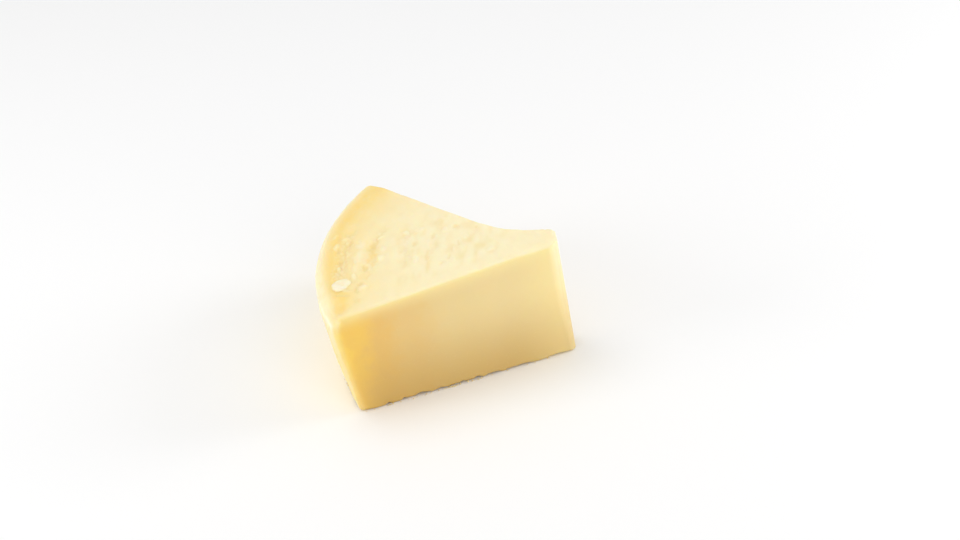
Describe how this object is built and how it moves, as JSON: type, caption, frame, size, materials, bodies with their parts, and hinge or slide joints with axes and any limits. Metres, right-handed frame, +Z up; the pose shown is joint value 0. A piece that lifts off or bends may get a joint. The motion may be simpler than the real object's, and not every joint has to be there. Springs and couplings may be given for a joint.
{
  "type": "pecorino chunk",
  "caption": "Wedge-shaped chunk of hard sheep's milk cheese with a curved rind side, a gently sloping top and a blunt tip, resting on its flat base.",
  "frame": {"origin": "on the base plane, under the middle of the chunk's bounding box", "axes": "+Z up; +X from the rind towards the blunt tip, along the front cut; +Y from the front cut towards the back cut's corner at the rind"},
  "size_m": [0.114, 0.1112, 0.0589],
  "materials": {
    "paste": "satin, pale yellow, slightly translucent"
  },
  "bodies": {
    "root": {"cheese_chunk": "paste"}
  },
  "joints": []
}
